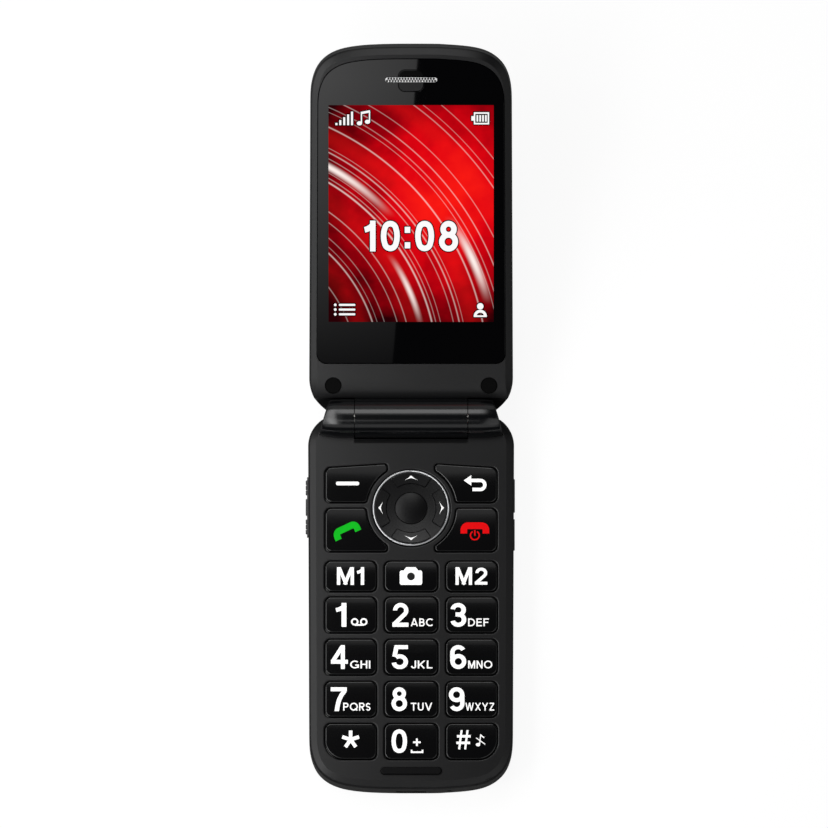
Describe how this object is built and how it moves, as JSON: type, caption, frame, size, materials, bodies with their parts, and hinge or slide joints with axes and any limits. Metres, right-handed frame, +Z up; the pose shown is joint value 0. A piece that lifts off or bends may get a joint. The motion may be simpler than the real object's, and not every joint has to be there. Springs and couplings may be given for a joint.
{
  "type": "flip phone",
  "caption": "Clamshell mobile phone with large keys, colour display in the lid, round navigation key and sliding battery cover.",
  "frame": {"origin": "on the flat back of the keypad half, which lies on the ground, in the middle of its width", "axes": "+Z up, out of the keypad; +Y towards the hinge and the lid; +X to the right of the keypad"},
  "size_m": [0.0548, 0.1928, 0.0436],
  "materials": {
    "satin_black_plastic": "fine satin moulded ABS",
    "gloss_black_plastic": "polished moulded ABS",
    "side_key_plastic": "satin moulded ABS",
    "window_acrylic": "polished acrylic with a black printed border",
    "bright_trim": "bright plated ring",
    "nickel_mesh": "perforated nickel",
    "black_rubber": "smooth soft rubber",
    "silicone": "translucent grey silicone",
    "circuit_board": "green solder mask",
    "steel": "plated steel",
    "contact_gold": "gold plated",
    "inner_plastic": "plain moulded",
    "battery_wrap": "aluminium can in a plain film wrap",
    "display_module": "display module in a black frame",
    "cable_jacket": "taped bundle"
  },
  "bodies": {
    "base": {"base_front_cover": "satin_black_plastic", "base_rear_case": "satin_black_plastic", "battery": "battery_wrap", "battery_contacts": "contact_gold", "main_board": "circuit_board", "snap_domes": "steel", "keypad_mat": "silicone", "loudspeaker": "inner_plastic", "vibration_motor": "steel", "microphone": "steel", "usb_socket": "steel", "sim_card_holder": "steel", "base_screws": "steel", "side_switches": "inner_plastic", "bumper_strip": "black_rubber", "hinge_ear_left": "gloss_black_plastic", "hinge_ear_right": "gloss_black_plastic", "hinge_drive_shaft": "steel", "hinge_pivot_pin": "steel", "hinge_cable": "cable_jacket"},
    "lid": {"lid_front_cover": "satin_black_plastic", "lid_rear_cover": "satin_black_plastic", "lid_hinge_barrel": "gloss_black_plastic", "hinge_cartridge": "steel", "display_window": "window_acrylic", "display_panel": "display_module", "lid_board": "circuit_board", "earpiece_speaker": "inner_plastic", "earpiece_mesh": "nickel_mesh", "lid_screws": "steel", "lid_screw_caps": "black_rubber", "camera_module": "inner_plastic", "camera_window": "window_acrylic"},
    "battery_cover": {"battery_cover": "satin_black_plastic"},
    "key_1": {"key_1": "gloss_black_plastic"},
    "key_2": {"key_2": "gloss_black_plastic"},
    "key_3": {"key_3": "gloss_black_plastic"},
    "key_4": {"key_4": "gloss_black_plastic"},
    "key_5": {"key_5": "gloss_black_plastic"},
    "key_6": {"key_6": "gloss_black_plastic"},
    "key_7": {"key_7": "gloss_black_plastic"},
    "key_8": {"key_8": "gloss_black_plastic"},
    "key_9": {"key_9": "gloss_black_plastic"},
    "key_star": {"key_star": "gloss_black_plastic"},
    "key_0": {"key_0": "gloss_black_plastic"},
    "key_hash": {"key_hash": "gloss_black_plastic"},
    "key_m1": {"key_m1": "gloss_black_plastic"},
    "key_camera": {"key_camera": "gloss_black_plastic"},
    "key_m2": {"key_m2": "gloss_black_plastic"},
    "key_soft_left": {"key_soft_left": "gloss_black_plastic"},
    "key_soft_right": {"key_soft_right": "gloss_black_plastic"},
    "key_call": {"key_call": "gloss_black_plastic"},
    "key_end": {"key_end": "gloss_black_plastic"},
    "ok_key": {"ok_key": "gloss_black_plastic"},
    "volume_key": {"volume_key": "side_key_plastic"},
    "side_key_upper": {"side_key_upper": "side_key_plastic"},
    "side_key_lower": {"side_key_lower": "side_key_plastic"},
    "nav_carrier": {"nav_carrier": "inner_plastic"},
    "nav_key": {"nav_key": "gloss_black_plastic", "nav_trim_ring": "bright_trim"}
  },
  "joints": [
    {"name": "lid_hinge", "type": "hinge", "parent": "base", "child": "lid", "pos_m": [0, 0.048, 0.011], "axis": [1, 0, 0], "range_deg": [0, 160]},
    {"name": "key_1_press", "type": "slide", "parent": "base", "child": "key_1", "axis": [0, 0, -1], "range_m": [0, 0.0003], "stiffness_N_per_m": 400, "deforming": ["keypad_mat"]},
    {"name": "key_2_press", "type": "slide", "parent": "base", "child": "key_2", "axis": [0, 0, -1], "range_m": [0, 0.0003], "stiffness_N_per_m": 400, "deforming": ["keypad_mat"]},
    {"name": "key_3_press", "type": "slide", "parent": "base", "child": "key_3", "axis": [0, 0, -1], "range_m": [0, 0.0003], "stiffness_N_per_m": 400, "deforming": ["keypad_mat"]},
    {"name": "key_4_press", "type": "slide", "parent": "base", "child": "key_4", "axis": [0, 0, -1], "range_m": [0, 0.0003], "stiffness_N_per_m": 400, "deforming": ["keypad_mat"]},
    {"name": "key_5_press", "type": "slide", "parent": "base", "child": "key_5", "axis": [0, 0, -1], "range_m": [0, 0.0003], "stiffness_N_per_m": 400, "deforming": ["keypad_mat"]},
    {"name": "key_6_press", "type": "slide", "parent": "base", "child": "key_6", "axis": [0, 0, -1], "range_m": [0, 0.0003], "stiffness_N_per_m": 400, "deforming": ["keypad_mat"]},
    {"name": "key_7_press", "type": "slide", "parent": "base", "child": "key_7", "axis": [0, 0, -1], "range_m": [0, 0.0003], "stiffness_N_per_m": 400, "deforming": ["keypad_mat"]},
    {"name": "key_8_press", "type": "slide", "parent": "base", "child": "key_8", "axis": [0, 0, -1], "range_m": [0, 0.0003], "stiffness_N_per_m": 400, "deforming": ["keypad_mat"]},
    {"name": "key_9_press", "type": "slide", "parent": "base", "child": "key_9", "axis": [0, 0, -1], "range_m": [0, 0.0003], "stiffness_N_per_m": 400, "deforming": ["keypad_mat"]},
    {"name": "key_star_press", "type": "slide", "parent": "base", "child": "key_star", "axis": [0, 0, -1], "range_m": [0, 0.0003], "stiffness_N_per_m": 400, "deforming": ["keypad_mat"]},
    {"name": "key_0_press", "type": "slide", "parent": "base", "child": "key_0", "axis": [0, 0, -1], "range_m": [0, 0.0003], "stiffness_N_per_m": 400, "deforming": ["keypad_mat"]},
    {"name": "key_hash_press", "type": "slide", "parent": "base", "child": "key_hash", "axis": [0, 0, -1], "range_m": [0, 0.0003], "stiffness_N_per_m": 400, "deforming": ["keypad_mat"]},
    {"name": "key_m1_press", "type": "slide", "parent": "base", "child": "key_m1", "axis": [0, 0, -1], "range_m": [0, 0.0003], "stiffness_N_per_m": 400, "deforming": ["keypad_mat"]},
    {"name": "key_camera_press", "type": "slide", "parent": "base", "child": "key_camera", "axis": [0, 0, -1], "range_m": [0, 0.0003], "stiffness_N_per_m": 400, "deforming": ["keypad_mat"]},
    {"name": "key_m2_press", "type": "slide", "parent": "base", "child": "key_m2", "axis": [0, 0, -1], "range_m": [0, 0.0003], "stiffness_N_per_m": 400, "deforming": ["keypad_mat"]},
    {"name": "key_soft_left_press", "type": "slide", "parent": "base", "child": "key_soft_left", "axis": [0, 0, -1], "range_m": [0, 0.0003], "stiffness_N_per_m": 400, "deforming": ["keypad_mat"]},
    {"name": "key_soft_right_press", "type": "slide", "parent": "base", "child": "key_soft_right", "axis": [0, 0, -1], "range_m": [0, 0.0003], "stiffness_N_per_m": 400, "deforming": ["keypad_mat"]},
    {"name": "key_call_press", "type": "slide", "parent": "base", "child": "key_call", "axis": [0, 0, -1], "range_m": [0, 0.0003], "stiffness_N_per_m": 400, "deforming": ["keypad_mat"]},
    {"name": "key_end_press", "type": "slide", "parent": "base", "child": "key_end", "axis": [0, 0, -1], "range_m": [0, 0.0003], "stiffness_N_per_m": 400, "deforming": ["keypad_mat"]},
    {"name": "ok_key_press", "type": "slide", "parent": "base", "child": "ok_key", "axis": [0, 0, -1], "range_m": [0, 0.0003], "stiffness_N_per_m": 400, "deforming": ["keypad_mat"]},
    {"name": "nav_tilt_side", "type": "hinge", "parent": "base", "child": "nav_carrier", "pos_m": [0, 0.02426, 0.00885], "axis": [0, 1, 0], "range_deg": [-1.2, 1.2], "stiffness_Nm_per_rad": 0.05, "deforming": ["keypad_mat"]},
    {"name": "nav_tilt_up_down", "type": "hinge", "parent": "nav_carrier", "child": "nav_key", "pos_m": [0, 0.02426, 0.00978], "axis": [1, 0, 0], "range_deg": [-1.2, 1.2], "stiffness_Nm_per_rad": 0.05},
    {"name": "volume_rock", "type": "hinge", "parent": "base", "child": "volume_key", "pos_m": [-0.0238, 0.0255, 0.0044], "axis": [0, 0, 1], "range_deg": [-2, 2], "stiffness_Nm_per_rad": 0.03},
    {"name": "side_key_upper_press", "type": "slide", "parent": "base", "child": "side_key_upper", "axis": [-1, 0, 0], "range_m": [0, 0.0003], "stiffness_N_per_m": 400},
    {"name": "side_key_lower_press", "type": "slide", "parent": "base", "child": "side_key_lower", "axis": [-1, 0, 0], "range_m": [0, 0.0003], "stiffness_N_per_m": 400},
    {"name": "battery_cover_slide", "type": "slide", "parent": "base", "child": "battery_cover", "axis": [0, -1, 0], "range_m": [0, 0.07]}
  ]
}
